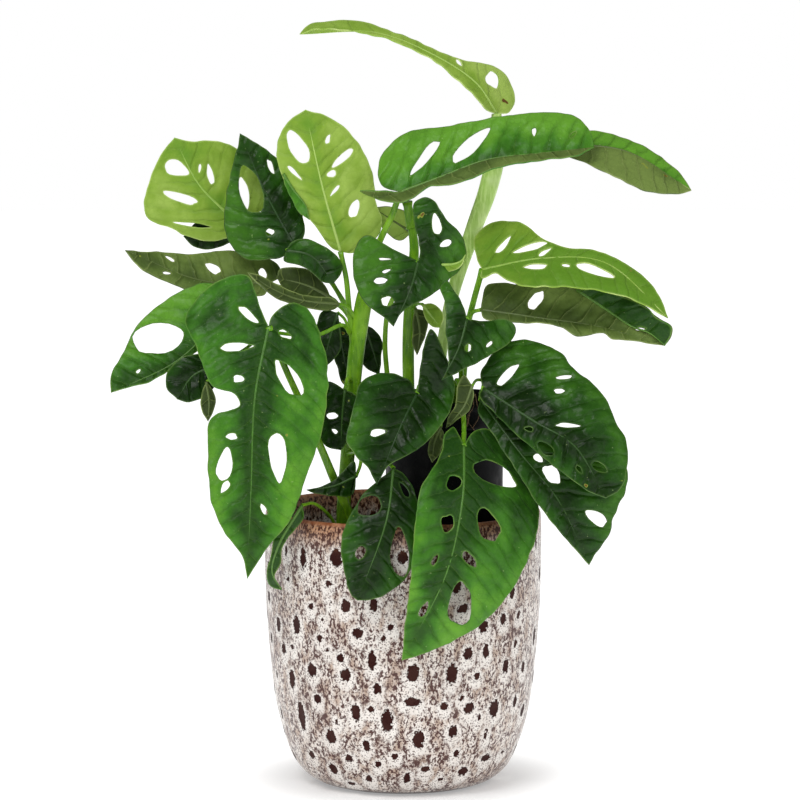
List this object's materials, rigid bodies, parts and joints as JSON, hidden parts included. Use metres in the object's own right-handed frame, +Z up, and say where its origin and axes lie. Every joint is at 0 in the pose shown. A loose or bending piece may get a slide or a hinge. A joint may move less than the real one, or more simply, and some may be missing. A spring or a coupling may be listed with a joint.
{
  "type": "potted plant",
  "caption": "Climbing aroid with holed, heart-shaped leaves on upright stems, in a black nursery pot inside a rounded, speckle-glazed ceramic cover pot.",
  "frame": {"origin": "centre of the cover pot's foot, on the floor", "axes": "+Z up; the front of the plant faces -Y; +X to the right"},
  "size_m": [0.4145, 0.2234, 0.5512],
  "materials": {
    "glaze": "glossy reactive glaze, cream with dark brown spots and a brown rim band",
    "black_plastic": "thin moulded black plastic, satin",
    "soil": "loose fibrous potting mix, matt",
    "stem": "smooth green stem skin, soft sheen",
    "leaf_young": "young yellow-green leaf, waxy sheen",
    "leaf_mid": "mid-green leaf, waxy sheen",
    "leaf_dark": "dark green mature leaf, waxy sheen",
    "leaf_olive": "olive-green leaf underside, matt"
  },
  "bodies": {
    "root": {"cover_pot": "glaze", "nursery_pot": "black_plastic", "potting_mix": "soil", "nursery_soil": "soil", "stem_left": "stem", "stem_middle": "stem", "stem_heart": "stem", "stem_right": "stem", "stem_side": "stem", "stem_centre": "stem", "stem_front": "stem", "stem_right_big": "stem", "stem_pot_back": "stem", "stem_big_left": "stem", "stem_rim": "stem", "leaf_crest": "leaf_young", "leaf_upper": "leaf_mid", "leaf_upper_right": "leaf_olive", "leaf_upright": "leaf_young", "leaf_left_high": "leaf_young", "leaf_left_dark": "leaf_dark", "leaf_left_lobe": "leaf_dark", "leaf_left_under": "leaf_dark", "leaf_left_olive": "leaf_olive", "leaf_far_left": "leaf_mid", "leaf_big_left": "leaf_mid", "leaf_heart": "leaf_dark", "leaf_behind_heart": "leaf_olive", "leaf_right": "leaf_young", "leaf_right_olive": "leaf_olive", "leaf_centre_right": "leaf_dark", "leaf_centre": "leaf_dark", "leaf_centre_low": "leaf_dark", "leaf_front": "leaf_dark", "leaf_big_front": "leaf_mid", "leaf_right_big": "leaf_dark", "leaf_right_low": "leaf_dark", "leaf_right_lobe": "leaf_olive", "leaf_pot_back": "leaf_olive", "leaf_over_rim": "leaf_mid", "leaf_crumpled": "leaf_dark", "leaf_crumpled_tip": "leaf_olive", "leaf_rolled_edge": "leaf_olive", "leaf_left_inner": "leaf_olive", "leaf_shade_left": "leaf_dark", "leaf_shade_middle": "leaf_dark", "leaf_small_olive": "leaf_olive", "leaf_small_bright": "leaf_young", "leaf_over_back_rim": "leaf_dark"}
  },
  "joints": []
}
